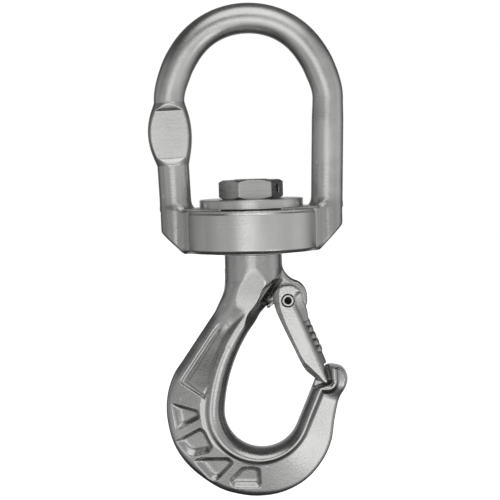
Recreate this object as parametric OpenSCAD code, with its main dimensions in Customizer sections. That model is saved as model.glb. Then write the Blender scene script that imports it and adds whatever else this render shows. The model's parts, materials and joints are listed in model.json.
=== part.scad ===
// Swivel hook: an eye bow that is forged round a bearing housing, and a latched
// hook that turns in it on a thrust ball bearing. Millimetres.
// Origin: the point of the bow's inner crown that the load hangs from. +Z up,
// +X towards the hook's tip, +Y to the back. Parts are drawn about the swivel
// centre, in the middle of the housing, and hung() moves them down from the eye.

/* [Bow] */
// Diameter of the bow's bar
bar_d = 13; // [11:0.5:14]
// Radius of the arch's centre line
arch_r = 33.6; // [32:0.2:36]
// Height of the arch's centre above the swivel centre
arch_z = 56.9; // [52:0.1:60]
// How far each leg leans inwards, in degrees
leg_lean = 2; // [1:0.5:2.5]
// Largest diameter of the butt weld's swelling
weld_d = 18.8; // [16:0.2:20]
// Length of the butt weld's swelling
weld_len = 26; // [22:1:30]
// Thickness between the two flats pressed on the weld
weld_flat = 10.4; // [9:0.2:12]

/* [Housing] */
// Outer diameter of the bearing housing
housing_d = 57; // [54:0.5:60]
// Height of the bearing housing
housing_h = 17.9; // [16:0.1:18]
// Width of the lugs that join the legs to the housing
lug_w = 15; // [13:0.5:16]
// Reach of the lugs from the swivel axis
lug_reach = 38.3; // [38:0.1:39]

/* [Bearing] */
// Outer diameter of the thrust bearing
bearing_d = 35; // [34:0.5:36]
// Diameter of each ball
ball_d = 5.5; // [5:0.1:5.5]
// Number of balls
ball_count = 12; // [8:1:12]
// Diameter of the circle of ball centres
ball_circle_d = 27.6; // [27:0.1:28]

/* [Stem] */
// Diameter of the journal that turns in the bush and bearing
journal_d = 20; // [19:0.5:20]
// Diameter of the threaded end
thread_d = 16; // [14:1:16]
// Diameter of the hook's neck below the housing
neck_d = 24.4; // [24:0.2:26]
// Diameter of the cover washer
washer_d = 44; // [43:0.5:46]
// Thickness of the cover washer
washer_t = 4; // [3:0.5:5]
// Width across the flats of the nut
nut_af = 24; // [22:0.5:27]
// Height of the nut
nut_h = 8; // [7:0.5:10]
// Direction of the nut's cross hole, in degrees about the swivel axis
nut_turn = -22; // [-30:1:30]

/* [Hook] */
// Radius of the bowl that carries the load
bowl_r = 15.95; // [15.7:0.05:16.2]
// Thickness of the web between the rims
web_t = 14; // [12:0.5:16]
// Thickness of the bead along the inside edge
bead_t = 19; // [18:0.5:20]
// Depth of each lightening pocket
pocket_depth = 2; // [1:0.25:3]
// Thickness of the latch lug and of the tip's fin
fin_t = 5; // [4:0.5:5.2]

/* [Latch] */
// Overall width of the latch, along its pin
latch_w = 17; // [16:0.5:18]
// Thickness of each cheek
cheek_t = 2.3; // [2:0.1:2.4]
// Diameter of the latch pin
latch_pin_d = 5; // [4:0.5:5]
// Diameter of the spring wire
wire_d = 1.3; // [1:0.1:1.4]

/* [Hidden] */
$fn = 96;

eps = 0.01;
far = 200;             // longer than anything it cuts
eye_z = arch_z + arch_r - bar_d / 2; // inner crown above the swivel centre

// Housing and what stacks up in it
housing_top = 9.8;
housing_bottom = housing_top - housing_h;
edge = 1.3;            // chamfer on the housing's edges
bearing_h = 10;
race_t = 3.1;
groove_play = 0.05;    // clearance between a ball and its groove
bearing_floor = housing_top + 0.4 - bearing_h;
ball_z = bearing_floor + bearing_h / 2;
bush_wall = 1.5;
fit = 0.03;            // radial clearance of a running fit
shoulder_z = -9.1;     // top of the hook's neck
washer_z = bearing_floor + bearing_h + 0.05;
nut_z = washer_z + washer_t;
seal_in_d = bearing_d + 3;
seal_out_d = washer_d - 1.4;
seal_depth = 1.5;
pin_d = 4;             // diameter of the nut's lock pin
pin_wall = 0.8;

// Hook outline: [x, z] about the swivel centre
bowl_c = [2.2, -75.8];
back_r = 70;           // long curve of the inside edge
back_start = 175;      // where the bowl runs into the long curve
back_end = 144;        // where the long curve becomes straight
throat_start = -23.4;  // where the bowl becomes straight towards the tip
back_run = 18;
throat_run = 17;
bead_w = 7.5;
outer_edge = [
    [-11.6, -18], [-12.3, -24], [-15, -31.2], [-20, -38], [-30.2, -52.6],
    [-35.2, -60], [-38.1, -69], [-38.2, -79], [-35.3, -90.3], [-28.8, -99.9],
    [-18.1, -108.2], [-9, -111.6], [0.5, -112.7], [10.5, -111.1], [20.1, -106.1],
    [27.1, -98.5], [31.3, -90], [33, -80.4], [35.1, -71.8], [38.2, -66.4],
    [38.9, -62.4], [37.2, -58.6], [33.6, -57.2], [30.4, -57]];

// Latch
latch_c = [14.3, -29]; // axis of the latch pin
head_r = 6.6;
toe_r = 38.7;          // furthest reach of the latch from its axis
recess_r = toe_r + 0.5;
gap = 0.3;             // clearance between latch and hook
latch_pin_wall = 1.15;
coil_r = 3.45;         // centre of the spring wire in its coil
bridge = [5.98, -31.64]; // wire across the hook's inner edge, just off it
cheek_y = latch_w / 2 - cheek_t;
coil_y = (fin_t / 2 + cheek_y) / 2; // middle of each coil, off the middle plane
cheek_edge = [
    [20.9, -29.3], [22, -31.5], [22.6, -34], [23, -37.6], [30.2, -56.1], [30.8, -62.3], [29.9, -64.3],
    [27.6, -64.1], [24.7, -62.6], [21, -59.6], [19.4, -57.2], [17.8, -54.2],
    [15.8, -49.7], [12.9, -43.6], [9, -34.6], [7.7, -29.4]];
web_edge = [
    [22.9, -37.6], [30.1, -56.1], [27.7, -56.1], [20.1, -37.6]];

// --- Geometry helpers ---

// Moves a part from the swivel centre down to its place under the eye
module hung() {
    translate([0, 0, -eye_z]) children();
}

// Stands a drawing made in X and Z upright, thickness along Y
module upright() {
    rotate([90, 0, 0]) children();
}

function on_circle(r, a) = [r * cos(a), r * sin(a)];

back_c = bowl_c - on_circle(back_r - bowl_r, back_start);

function arc(c, r, a0, a1, n) = [for (i = [0:n]) c + on_circle(r, a0 + (a1 - a0) * i / n)];

// A point of the smooth curve from b to c, with neighbours a and d
function smooth(a, b, c, d, t) =
    0.5 * (2 * b + (c - a) * t + (2 * a - 5 * b + 4 * c - d) * t * t
        + (3 * b - a - 3 * c + d) * t * t * t);

// The smooth open curve through points p, with n steps to each stretch
function curve(p, n) = let(last = len(p) - 1) concat(
    [for (i = [0:last - 1]) for (k = [0:n - 1])
        smooth(p[max(i - 1, 0)], p[i], p[i + 1], p[min(i + 2, last)], k / n)],
    [p[last]]);

// Inside edge of the hook moved by off into the metal, from the tip to the neck
function inside_edge(off) =
    let(throat = bowl_c + on_circle(bowl_r + off, throat_start),
        back = back_c + on_circle(back_r + off, back_end))
    concat(
        [throat + throat_run * on_circle(1, throat_start + 90)],
        arc(bowl_c, bowl_r + off, throat_start, back_start - 360, 20),
        arc(back_c, back_r + off, back_start, back_end, 8),
        [back + back_run * on_circle(1, back_end - 90)]);

// --- Bow ---

// Leg that runs on from the end of the arch, at the arch's slope there
module bow_leg(side) {
    foot_z = 5; // the leg ends inside its lug
    leg_len = arch_z - foot_z;
    translate([0, 0, arch_z])
        rotate([0, side * leg_lean, 0])
            translate([side * arch_r, 0, -leg_len]) cylinder(d = bar_d, h = leg_len);
}

module bow_arch() {
    translate([0, 0, arch_z])
        upright()
            rotate([0, 0, -leg_lean])
                rotate_extrude(angle = 180 + 2 * leg_lean)
                    translate([arch_r, 0]) circle(d = bar_d);
}

// Swelling of the butt weld, with a flat pressed on its front and back
module bow_weld() {
    weld_z = 43;
    rise = (weld_d - bar_d) / 2;
    swell_r = (pow(weld_len / 2, 2) + rise * rise) / (2 * rise);
    translate([0, 0, arch_z])
        rotate([0, -leg_lean, 0])
            translate([-arch_r - 0.5, 0, weld_z - arch_z])
                rotate_extrude()
                    intersection() {
                        translate([weld_d / 2 - swell_r, 0]) circle(r = swell_r, $fn = 180);
                        translate([0, -weld_len / 2]) square([weld_d, weld_len]);
                    }
}

module weld_flats() {
    flat_len = 21;
    translate([-34.2, 0, 42.5])
        for (side = [-1, 1])
            translate([-weld_d, side > 0 ? weld_flat / 2 : -weld_flat / 2 - weld_d, -flat_len / 2])
                cube([2 * weld_d, weld_d, flat_len]);
}

// Block under each leg that carries it into the housing, round on its outer side
module bow_lug(side) {
    inner = housing_d / 2 - 6;
    corner = 2.4; // height where the slanted underside meets the outer side
    shape = [
        [inner, housing_bottom + edge], [housing_d / 2, housing_bottom + edge],
        [lug_reach, corner], [lug_reach, housing_top + 3],
        [inner + 3, housing_top + 3], [inner, housing_top - edge]];
    intersection() {
        upright()
            linear_extrude(lug_w, center = true)
                polygon([for (p = shape) [side * p.x, p.y]]);
        translate([0, 0, housing_bottom])
            linear_extrude(housing_h + 5) {
                translate([side * (lug_reach - lug_w / 2), 0]) circle(d = lug_w);
                translate([side * lug_reach / 2, 0])
                    square([lug_reach - lug_w, lug_w], center = true);
            }
    }
}

module housing_blank() {
    r = housing_d / 2;
    rotate_extrude()
        polygon([
            [0, housing_bottom], [r - edge, housing_bottom], [r, housing_bottom + edge],
            [r, housing_top - edge], [r - edge, housing_top], [0, housing_top]]);
}

module swivel_bow() color("silver") hung() {
    difference() {
        union() {
            bow_arch();
            bow_leg(-1);
            bow_leg(1);
            bow_weld();
            bow_lug(-1);
            bow_lug(1);
            housing_blank();
        }
        weld_flats();
        // bearing seat, bush bore and seal groove
        translate([0, 0, bearing_floor]) cylinder(d = bearing_d + 0.1, h = bearing_h + 2);
        translate([0, 0, housing_bottom - 1])
            cylinder(d = journal_d + 2 * bush_wall + 0.04, h = housing_h);
        translate([0, 0, housing_top - seal_depth])
            ring(seal_out_d + 0.04, seal_in_d - 0.04, seal_depth + 2);
    }
}

// --- Bearing and seals ---

module ring(outer_d, inner_d, h) {
    rotate_extrude()
        translate([inner_d / 2, 0]) square([(outer_d - inner_d) / 2, h]);
}

module plain_bush() color("darkgoldenrod") hung() {
    bush_h = bearing_floor - housing_bottom - 0.1;
    translate([0, 0, housing_bottom])
        ring(journal_d + 2 * bush_wall, journal_d + 2 * fit, bush_h);
}

// One race: a flat ring with the ball groove cut into its upper face
module race(outer_d, inner_d) {
    rotate_extrude()
        difference() {
            translate([inner_d / 2, 0]) square([(outer_d - inner_d) / 2, race_t]);
            translate([ball_circle_d / 2, bearing_h / 2]) circle(d = ball_d + 2 * groove_play);
        }
}

module bearing_lower_race() color("lightsteelblue") hung() {
    translate([0, 0, bearing_floor]) race(bearing_d, journal_d + 1);
}

module bearing_upper_race() color("lightsteelblue") hung() {
    translate([0, 0, bearing_floor + bearing_h])
        mirror([0, 0, 1]) race(bearing_d - 0.5, journal_d + 2 * fit);
}

module bearing_cage() color("goldenrod") hung() {
    cage_t = 2.4;
    difference() {
        translate([0, 0, ball_z - cage_t / 2]) ring(bearing_d - 1.2, journal_d + 1.2, cage_t);
        for (i = [1:ball_count])
            rotate([0, 0, i * 360 / ball_count])
                translate([ball_circle_d / 2, 0, ball_z - cage_t])
                    cylinder(d = ball_d + 0.12, h = 2 * cage_t);
    }
}

module bearing_ball(i) color("gainsboro") hung() {
    if (i <= ball_count)
        rotate([0, 0, i * 360 / ball_count])
            translate([ball_circle_d / 2, 0, ball_z]) sphere(d = ball_d);
}

module upper_seal() color("dimgray") hung() {
    translate([0, 0, housing_top - seal_depth])
        ring(seal_out_d, seal_in_d, washer_z - housing_top + seal_depth - 0.05);
}

module lower_seal() color("dimgray") hung() {
    translate([0, 0, shoulder_z])
        ring(neck_d - 0.6, journal_d + 2 * fit, housing_bottom - shoulder_z - 0.1);
}

// --- Nut, washer and lock pin ---

module nut_cross_hole(d) {
    translate([0, 0, nut_z + nut_h / 2])
        rotate([0, 0, nut_turn])
            rotate([0, 90, 0]) cylinder(d = d, h = far, center = true);
}

module cover_washer() color("silver") hung() {
    bevel = 0.4;
    r = washer_d / 2;
    translate([0, 0, washer_z])
        rotate_extrude()
            polygon([
                [thread_d / 2 + 0.2, 0], [r - bevel, 0], [r, bevel],
                [r, washer_t - bevel], [r - bevel, washer_t], [thread_d / 2 + 0.2, washer_t]]);
}

module hex_nut() color("gray") hung() {
    corner_r = nut_af / sqrt(3);
    bevel = (corner_r - nut_af / 2) * tan(30);
    difference() {
        translate([0, 0, nut_z])
            intersection() {
                // a flat faces the cross hole
                rotate([0, 0, nut_turn + 30]) cylinder(r = corner_r, h = nut_h, $fn = 6);
                rotate_extrude()
                    polygon([
                        [0, 0], [nut_af / 2, 0], [corner_r + eps, bevel],
                        [corner_r + eps, nut_h - bevel], [nut_af / 2, nut_h], [0, nut_h]]);
            }
        translate([0, 0, nut_z - 1]) cylinder(d = thread_d + 0.04, h = far);
        nut_cross_hole(pin_d + 0.04);
    }
}

// Slotted spring pin along Z, centred
module spring_pin(d, wall, length, slot) {
    difference() {
        cylinder(d = d, h = length, center = true);
        cylinder(d = d - 2 * wall, h = length + 1, center = true);
        translate([0, -slot / 2, -length]) cube([d, slot, 2 * length]);
    }
}

module nut_lock_pin() color("darkgray") hung() {
    translate([0, 0, nut_z + nut_h / 2])
        rotate([0, 0, nut_turn])
            rotate([0, 90, 0]) spring_pin(pin_d, pin_wall, nut_af - 2.6, 0.6);
}

// --- Hook ---

// Half of the bead's section: depth into the metal, and half the thickness there
bead_half = [[0, 2.4], [0.8, 4.9], [2.8, 7.6], [5.3, 9.2], [bead_w, bead_t / 2]];

// Thick bead along the inside edge, swept along it from the tip to the neck
module hook_bead() {
    section = concat(
        bead_half, [for (i = [len(bead_half) - 1:-1:0]) [bead_half[i].x, -bead_half[i].y]]);
    rows = [for (s = section) [for (p = inside_edge(s.x)) [p.x, s.y, p.y]]];
    n = len(section);
    m = len(rows[0]);
    points = [for (k = [0:m - 1]) for (j = [0:n - 1]) rows[j][k]];
    sides = [for (k = [0:m - 2]) for (j = [0:n - 1])
        let(next = (j + 1) % n) [k * n + j, (k + 1) * n + j, (k + 1) * n + next, k * n + next]];
    caps = [[for (j = [0:n - 1]) j], [for (j = [n - 1:-1:0]) (m - 1) * n + j]];
    polyhedron(points, concat(sides, caps));
}

// Flat plate between the bead and the outer edge
module hook_web() {
    inside = inside_edge(bead_w - 2.5);
    upright()
        linear_extrude(web_t, center = true)
            polygon(concat(curve(outer_edge, 4), inside, [[6, -18]]));
}

// Round stem: thread, journal, neck and the taper into the web
module hook_stem() {
    neck_r = neck_d / 2;
    rotate_extrude()
        polygon([
            [0, nut_z + nut_h + 0.3], [thread_d / 2 - 1, nut_z + nut_h + 0.3],
            [thread_d / 2, nut_z + nut_h - 0.7], [thread_d / 2, washer_z],
            [journal_d / 2, washer_z], [journal_d / 2, shoulder_z],
            [neck_r - 0.5, shoulder_z], [neck_r, shoulder_z - 0.5],
            [neck_r, -20], [neck_r - 1.4, -25], [6.2, -29.5], [0, -30.2]]);
}

// Thin plate that the latch straddles, from the neck round the pin
module latch_lug() {
    upright()
        linear_extrude(fin_t, center = true)
            difference() {
                polygon([
                    [0, -14], [11.5, -12], [13.1, -16.3], [15.2, -19.8], [18.2, -21.1],
                    [21.2, -23.4], [22.5, -27], [22.5, -31], [21.2, -33.6], [16.8, -34.9],
                    [12.2, -34], [9.4, -31], [4.8, -30.6], [0, -38]]);
                translate(latch_c) circle(d = latch_pin_d + 0.04);
            }
}

// Thin fin at the tip that the latch's toe straddles
module tip_fin() {
    upright()
        linear_extrude(fin_t, center = true)
            polygon([[31, -57.6], [33, -60], [33, -70], [26, -72], [23.9, -66.2], [26.4, -62.6]]);
}

// Room for the latch: its head round the pin, its toe at the tip, and its swing
module latch_room() {
    side_y = fin_t / 2 + 0.1;
    for (side = [-1, 1]) {
        translate([latch_c.x, side * (side_y + far / 2), latch_c.y])
            rotate([90, 0, 0]) cylinder(r = head_r + 0.6, h = far, center = true);
        translate([0, side * (cheek_y - gap + far / 2), 0])
            upright()
                linear_extrude(far, center = true)
                    intersection() {
                        translate(latch_c) circle(r = recess_r);
                        polygon([[30.5, -50], [31.3, -62.4], [32.6, -66], [22, -75], [0, -75], [0, -50]]);
                    }
        translate([0, side * (side_y + far / 2), 0])
            upright()
                linear_extrude(far, center = true)
                    intersection() {
                        translate(latch_c) circle(r = recess_r - 1.6);
                        polygon([[30.5, -50], [31.3, -62.4], [32.6, -66], [22, -75], [0, -75], [0, -50]]);
                    }
    }
}

// Four pockets on each face between the ribs
module hook_pockets() {
    pockets = [
        [[-35.6, -71.9], [-25, -75.2], [-24.6, -77.4], [-34, -81.4]],
        [[-34, -87.3], [-24, -82.7], [-19.6, -90.4], [-20.9, -91.8], [-29.3, -93.4]],
        [[-26.9, -96], [-12.8, -95.6], [-11.6, -97.9], [-17.6, -103.6], [-20.6, -103.7]],
        [[-6.9, -100], [0.1, -100.2], [0.4, -106.8], [-11.4, -107]]];
    for (side = [-1, 1])
        translate([0, side * (web_t / 2 - pocket_depth + far / 2), 0])
            upright()
                linear_extrude(far, center = true)
                    for (p = pockets) polygon(p);
}

module hook() color("darkgray") hung() {
    difference() {
        union() {
            difference() {
                union() {
                    hook_bead();
                    hook_web();
                    hook_stem();
                }
                latch_room();
                hook_pockets();
            }
            latch_lug();
            tip_fin();
        }
        nut_cross_hole(pin_d + 0.04);
        translate([latch_c.x, 0, latch_c.y])
            rotate([90, 0, 0]) cylinder(d = latch_pin_d + 0.04, h = far, center = true);
    }
}

// --- Latch ---

module latch_cheek() {
    upright()
        linear_extrude(cheek_t, center = true)
            difference() {
                union() {
                    translate(latch_c) circle(r = head_r);
                    polygon(cheek_edge);
                }
                translate(latch_c) circle(d = latch_pin_d + 0.2);
            }
}

// Outer wall of the latch, with the finger grip's ridges across it
module latch_web() {
    ridges = 5;
    top = web_edge[0];
    run = web_edge[1] - top;
    upright()
        linear_extrude(latch_w - eps, center = true) polygon(web_edge);
    for (i = [1:ridges])
        translate([top.x + run.x * i / (ridges + 0.6) - 0.7, 0, top.y + run.y * i / (ridges + 0.6)])
            rotate([90, 0, 0]) cylinder(r = 1.3, h = latch_w - 2 * eps, center = true);
}

module latch() color("silver") hung() {
    for (side = [-1, 1])
        translate([0, side * (latch_w / 2 - cheek_t / 2), 0]) latch_cheek();
    latch_web();
}

module latch_pin() color("gray") hung() {
    length = latch_w - 0.4;
    end_depth = 3.2; // blind hole in each riveted end
    translate([latch_c.x, 0, latch_c.y])
        rotate([90, 0, 0])
            difference() {
                cylinder(d = latch_pin_d, h = length, center = true);
                for (side = [-1, 1])
                    translate([0, 0, side * length / 2])
                        cylinder(d = latch_pin_d - 2 * latch_pin_wall, h = 2 * end_depth, center = true);
            }
}

// A straight piece of wire between two [x, y, z] points
module wire(a, b) {
    v = b - a;
    translate(a)
        rotate([0, acos(v.z / norm(v)), atan2(v.y, v.x)])
            cylinder(d = wire_d, h = norm(v));
}

// Two coils on the pin, joined by a bridge that bears on the hook, with a free
// arm from each coil to the inside of the latch's web
module latch_spring() color("lightgray") hung() {
    coil_len = cheek_y - fin_t / 2 - 0.5;
    arm_start = latch_c + (coil_r - 0.2) * [cos(60), -sin(60)];
    lead_start = latch_c + (coil_r - 0.2) * [-sin(40), cos(40)];
    arm_end = [23.9, -49];
    for (side = [-1, 1]) {
        translate([latch_c.x, side * coil_y, latch_c.y])
            rotate([90, 0, 0])
                difference() {
                    cylinder(r = coil_r + wire_d / 2, h = coil_len, center = true);
                    cylinder(r = coil_r - wire_d / 2, h = coil_len + 1, center = true);
                }
        wire([lead_start.x, side * coil_y, lead_start.y], [bridge.x, side * coil_y, bridge.y]);
        wire([arm_start.x, side * coil_y, arm_start.y], [arm_end.x, side * coil_y, arm_end.y]);
    }
    translate([bridge.x, 0, bridge.y])
        rotate([90, 0, 0]) cylinder(d = wire_d + 0.1, h = 2 * coil_y + wire_d, center = true);
}

swivel_bow();
plain_bush();
bearing_lower_race();
bearing_upper_race();
bearing_cage();
bearing_ball(1);  // bearing_ball_01
bearing_ball(2);  // bearing_ball_02
bearing_ball(3);  // bearing_ball_03
bearing_ball(4);  // bearing_ball_04
bearing_ball(5);  // bearing_ball_05
bearing_ball(6);  // bearing_ball_06
bearing_ball(7);  // bearing_ball_07
bearing_ball(8);  // bearing_ball_08
bearing_ball(9);  // bearing_ball_09
bearing_ball(10);  // bearing_ball_10
bearing_ball(11);  // bearing_ball_11
bearing_ball(12);  // bearing_ball_12
upper_seal();
lower_seal();
cover_washer();
hex_nut();
nut_lock_pin();
hook();
latch();
latch_pin();
latch_spring();
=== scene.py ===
"""Swivel hook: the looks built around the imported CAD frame.

The forged pieces are described as fields (distance-like functions of x, y, z) and skinned with a
surface net. All working sizes are in millimetres about the swivel centre; place() turns them into
metres in the shared frame. X runs to the hook's tip, Y to the back, Z up.
"""

import json
import math

import bpy
import numpy as np
from mathutils import Matrix, Vector


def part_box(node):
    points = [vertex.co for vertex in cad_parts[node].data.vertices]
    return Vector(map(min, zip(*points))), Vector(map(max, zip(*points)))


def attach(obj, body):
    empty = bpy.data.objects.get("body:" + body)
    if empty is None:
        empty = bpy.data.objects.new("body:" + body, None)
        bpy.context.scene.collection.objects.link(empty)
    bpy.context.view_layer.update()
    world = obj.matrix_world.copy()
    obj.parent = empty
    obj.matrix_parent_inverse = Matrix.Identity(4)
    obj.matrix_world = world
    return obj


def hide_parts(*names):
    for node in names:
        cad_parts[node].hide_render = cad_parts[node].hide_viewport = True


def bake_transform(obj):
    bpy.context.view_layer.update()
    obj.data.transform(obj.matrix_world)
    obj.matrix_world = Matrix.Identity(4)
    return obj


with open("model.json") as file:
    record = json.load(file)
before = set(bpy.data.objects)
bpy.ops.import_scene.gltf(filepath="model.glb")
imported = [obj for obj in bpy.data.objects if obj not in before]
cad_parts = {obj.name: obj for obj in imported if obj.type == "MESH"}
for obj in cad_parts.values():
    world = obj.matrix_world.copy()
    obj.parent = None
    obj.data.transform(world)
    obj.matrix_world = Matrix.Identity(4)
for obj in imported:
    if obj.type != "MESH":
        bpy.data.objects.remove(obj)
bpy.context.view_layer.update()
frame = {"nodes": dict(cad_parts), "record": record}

MM = 0.001
joints = {j["name"]: j for j in frame["record"]["behaviour"]["joints"]}
SWIVEL = np.array(joints["swivel"]["pos_m"])
LATCH = (np.array(joints["latch_swing"]["pos_m"]) - SWIVEL) / MM


def place(points):
    """Millimetres about the swivel centre to metres in the shared frame."""
    return np.asarray(points, float) * MM + SWIVEL


def node_box(name):
    """A node's lowest and highest corners in millimetres about the swivel centre."""
    return [(np.array(corner) - SWIVEL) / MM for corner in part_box(name)]


# ---------------------------------------------------------------- camera

CAMERA_AT = (-1.1, -870.0, 38.6)
LOOKS_AT = (-1.1, 0.0, -7.6)
VIEW_WIDTH = 212.5
ROLL_DEG = 1.6
SENSOR = 36.0


def add_camera():
    """Stands where the photo was taken from; its numbers are millimetres about the swivel centre."""
    data = bpy.data.cameras.new("camera")
    camera = bpy.data.objects.new("camera", data)
    bpy.context.scene.collection.objects.link(camera)
    start, end = Vector(place(CAMERA_AT)), Vector(place(LOOKS_AT))
    aim = (end - start).to_track_quat("-Z", "Y").to_matrix().to_4x4()
    roll = Matrix.Rotation(-math.radians(ROLL_DEG), 4, "Z")
    camera.matrix_world = Matrix.Translation(start) @ aim @ roll
    data.sensor_width = SENSOR
    data.lens = SENSOR * (end - start).length / (VIEW_WIDTH * MM)
    data.clip_end = 20
    bpy.context.scene.camera = camera


add_camera()

# ---------------------------------------------------------------- fields


def smooth_min(a, b, k):
    """Union of two fields with a fillet about k wide."""
    h = np.maximum(k - np.abs(a - b), 0) / k
    return np.minimum(a, b) - h * h * k / 4


def smooth_max(a, b, k):
    """Intersection of two fields with a rounded edge about k wide."""
    return -smooth_min(-a, -b, k)


def ramp(v, start, end):
    """0 before start, 1 after end, smooth between."""
    t = np.clip((v - start) / (end - start), 0, 1)
    return t * t * (3 - 2 * t)


def spline(points, steps):
    """The smooth open curve through points, with steps to each stretch."""
    p = np.array(points, float)
    out = []
    for i in range(len(p) - 1):
        a, b, c, d = p[max(i - 1, 0)], p[i], p[i + 1], p[min(i + 2, len(p) - 1)]
        for k in range(steps):
            t = k / steps
            out.append(0.5 * (2 * b + (c - a) * t + (2 * a - 5 * b + 4 * c - d) * t * t
                              + (3 * b - a - 3 * c + d) * t ** 3))
    out.append(p[-1])
    return np.array(out)


def arc(centre, radius, start, end, steps):
    """Points along an arc in the XZ plane, angles in degrees."""
    a = np.radians(np.linspace(start, end, steps + 1))
    return np.stack([centre[0] + radius * np.cos(a), centre[1] + radius * np.sin(a)], 1)


def line_distance(x, z, line):
    """Distance from each point to an open line in the XZ plane."""
    best = np.full(x.shape, 1e9)
    for (x0, z0), (x1, z1) in zip(line[:-1], line[1:]):
        dx, dz = x1 - x0, z1 - z0
        t = np.clip(((x - x0) * dx + (z - z0) * dz) / (dx * dx + dz * dz + 1e-12), 0, 1)
        best = np.minimum(best, (x - x0 - t * dx) ** 2 + (z - z0 - t * dz) ** 2)
    return np.sqrt(best)


def shape_distance(x, z, outline):
    """Signed distance to a closed outline in the XZ plane, negative inside."""
    closed = np.vstack([outline, outline[:1]])
    odd = np.zeros(x.shape, bool)
    for (x0, z0), (x1, z1) in zip(closed[:-1], closed[1:]):
        if z0 != z1:
            odd ^= ((z0 > z) != (z1 > z)) & (x < x0 + (z - z0) * (x1 - x0) / (z1 - z0))
    return np.where(odd, -1.0, 1.0) * line_distance(x, z, closed)


class Map:
    """A value worked out once on a grid in the XZ plane and read back between its points."""

    def __init__(self, value, low, high, step=0.35):
        self.low, self.step = low, step
        x = np.arange(low[0], high[0] + step, step)
        z = np.arange(low[1], high[1] + step, step)
        self.grid = value(*np.meshgrid(x, z, indexing="ij"))

    def __call__(self, x, z):
        x, z = np.broadcast_arrays(x, z)
        nx, nz = self.grid.shape
        i = np.clip((x - self.low[0]) / self.step, 0, nx - 1.001)
        k = np.clip((z - self.low[1]) / self.step, 0, nz - 1.001)
        i0, k0 = i.astype(int), k.astype(int)
        tx, tz = i - i0, k - k0
        g = self.grid
        return ((g[i0, k0] * (1 - tx) + g[i0 + 1, k0] * tx) * (1 - tz)
                + (g[i0, k0 + 1] * (1 - tx) + g[i0 + 1, k0 + 1] * tx) * tz)


def gradient(field, p, h):
    """Slope of a field at points p, by differences over h on each side."""
    g = np.empty_like(p)
    for axis in range(3):
        step = np.zeros(3)
        step[axis] = h
        a, b = p + step, p - step
        g[:, axis] = (field(a[:, 0], a[:, 1], a[:, 2]) - field(b[:, 0], b[:, 1], b[:, 2])) / (2 * h)
    return g


def surface_net(field, low, high, step):
    """Skins the zero surface of a field: points, quads and outward normals."""
    axes = [np.arange(low[i], high[i] + step, step) for i in range(3)]
    shape = tuple(len(a) for a in axes)
    values = field(axes[0][:, None, None], axes[1][None, :, None], axes[2][None, None, :])
    values = np.ascontiguousarray(np.broadcast_to(values, shape), np.float32)
    inside = values < 0
    corners = [(i, j, k) for i in (0, 1) for j in (0, 1) for k in (0, 1)]
    total = np.zeros([n - 1 for n in shape], np.int8)
    for c in corners:
        total += inside[tuple(slice(c[i], shape[i] - 1 + c[i]) for i in range(3))]
    cells = np.argwhere((total > 0) & (total < 8))
    index = np.full(total.shape, -1, np.int32)
    index[tuple(cells.T)] = np.arange(len(cells))
    at_corner = {c: values[tuple((cells + c).T)].astype(float) for c in corners}
    sums, count = np.zeros((len(cells), 3)), np.zeros(len(cells))
    for c in corners:
        for axis in range(3):
            if c[axis]:
                continue
            other = tuple(v + (i == axis) for i, v in enumerate(c))
            v0, v1 = at_corner[c], at_corner[other]
            hit = (v0 < 0) != (v1 < 0)
            t = np.where(hit, v0 / np.where(hit, v0 - v1, 1), 0)
            point = np.tile(np.array(c, float), (len(cells), 1))
            point[:, axis] += t
            sums[hit] += point[hit]
            count += hit
    points = (cells + sums / count[:, None]) * step + np.array(low)
    quads = []
    for axis in range(3):
        u, w = (axis + 1) % 3, (axis + 2) % 3
        a = inside[tuple(slice(0, shape[i] - (i == axis)) for i in range(3))]
        b = inside[tuple(slice(i == axis, shape[i]) for i in range(3))]
        at = np.argwhere(a != b)
        at = at[(at[:, u] > 0) & (at[:, w] > 0)
                & (at[:, u] < shape[u] - 1) & (at[:, w] < shape[w] - 1)]
        du, dw = np.eye(3, dtype=int)[u], np.eye(3, dtype=int)[w]
        around = np.stack([index[tuple((at - s).T)] for s in (0 * du, du, du + dw, dw)], 1)
        out = a[tuple(at.T)]
        quads.append(np.where(out[:, None], around, around[:, ::-1]))
    quads = np.vstack(quads)
    for _ in range(3):
        points = relax(points, quads)
        g = gradient(field, points, step * 0.2)
        value = field(points[:, 0], points[:, 1], points[:, 2])
        move = value / np.maximum((g * g).sum(1), 0.05)
        points = points - np.clip(move, -step, step)[:, None] * g
    g = gradient(field, points, step * 0.3)
    normals = g / np.maximum(np.linalg.norm(g, axis=1), 1e-9)[:, None]
    return points, quads, normals


def relax(points, quads):
    """Moves each point halfway to the middle of its neighbours."""
    edges = np.vstack([quads[:, [i, (i + 1) % 4]] for i in range(4)])
    both = np.vstack([edges, edges[:, ::-1]])
    count = np.bincount(both[:, 0], minlength=len(points))
    mean = np.stack([np.bincount(both[:, 0], points[both[:, 1], i], len(points)) for i in range(3)], 1)
    return points + 0.5 * (mean / np.maximum(count, 1)[:, None] - points)


def add_mesh(name, points, faces, normals, material):
    """Makes a smooth piece from points in millimetres about the swivel centre."""
    mesh = bpy.data.meshes.new(name)
    mesh.from_pydata(place(points).tolist(), [], [list(f) for f in faces])
    mesh.polygons.foreach_set("use_smooth", [True] * len(mesh.polygons))
    mesh.update()
    if normals is not None:
        mesh.normals_split_custom_set_from_vertices(np.asarray(normals).tolist())
    piece = bpy.data.objects.new(name, mesh)
    bpy.context.scene.collection.objects.link(piece)
    mesh.materials.append(material)
    return piece


def add_skin(name, field, low, high, step, material):
    """Skins a field inside a box, with room of a few steps round it."""
    step *= 1
    room = 2.5 * step
    points, quads, normals = surface_net(field, np.array(low) - room, np.array(high) + room, step)
    print(name, len(points), "points", len(quads), "quads")
    return add_mesh(name, points, quads, normals, material)


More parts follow.
